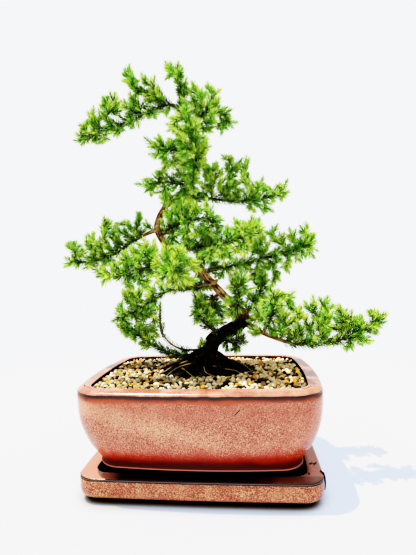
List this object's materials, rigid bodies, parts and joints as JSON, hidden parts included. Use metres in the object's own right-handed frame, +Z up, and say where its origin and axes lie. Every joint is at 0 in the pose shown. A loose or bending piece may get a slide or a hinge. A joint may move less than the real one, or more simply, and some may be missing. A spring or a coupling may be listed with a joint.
{
  "type": "bonsai tree in a pot",
  "caption": "Juniper bonsai with a bent trunk and open needle sprays, in a round-cornered glazed pot topped with gravel, standing on its shallow humidity tray.",
  "frame": {"origin": "centre of the base of the bounding box, on the surface that the tray stands on", "axes": "+Z up, front of the tree towards -Y, +X along the long side of the pot"},
  "size_m": [0.3016, 0.1534, 0.3834],
  "materials": {
    "pot_glaze": "speckled salmon-pink glaze, glossy",
    "tray_glaze": "mottled orange-tan glaze, glossy",
    "mesh_plastic": "black woven plastic",
    "soil": "dark moist potting grit",
    "gravel": "cream, white and ochre stones",
    "bark": "flaky reddish-brown bark",
    "needles": "fresh green needles on green stems, satin"
  },
  "bodies": {
    "root": {"pot": "pot_glaze", "tray": "tray_glaze", "drain_mesh_left": "mesh_plastic", "drain_mesh_right": "mesh_plastic", "soil": "soil", "gravel": "gravel", "trunk": "bark", "spray_top_left": "needles", "spray_apex": "needles", "spray_top_right": "needles", "spray_crown_front": "needles", "spray_crown_back": "needles", "spray_mid_left": "needles", "spray_mid_left_low": "needles", "spray_right_upper": "needles", "spray_middle_front": "needles", "spray_centre": "needles", "spray_front_bright": "needles", "spray_left": "needles", "spray_left_low": "needles", "spray_left_lowest": "needles", "spray_trailing": "needles", "spray_whip": "needles", "spray_trunk_left": "needles", "spray_right_mid": "needles", "spray_elbow_front": "needles", "spray_elbow_back": "needles", "spray_right_inner": "needles", "spray_right_low": "needles", "spray_base_right": "needles", "spray_back_middle": "needles", "spray_back_lower": "needles", "spray_back_upper": "needles"}
  },
  "joints": []
}
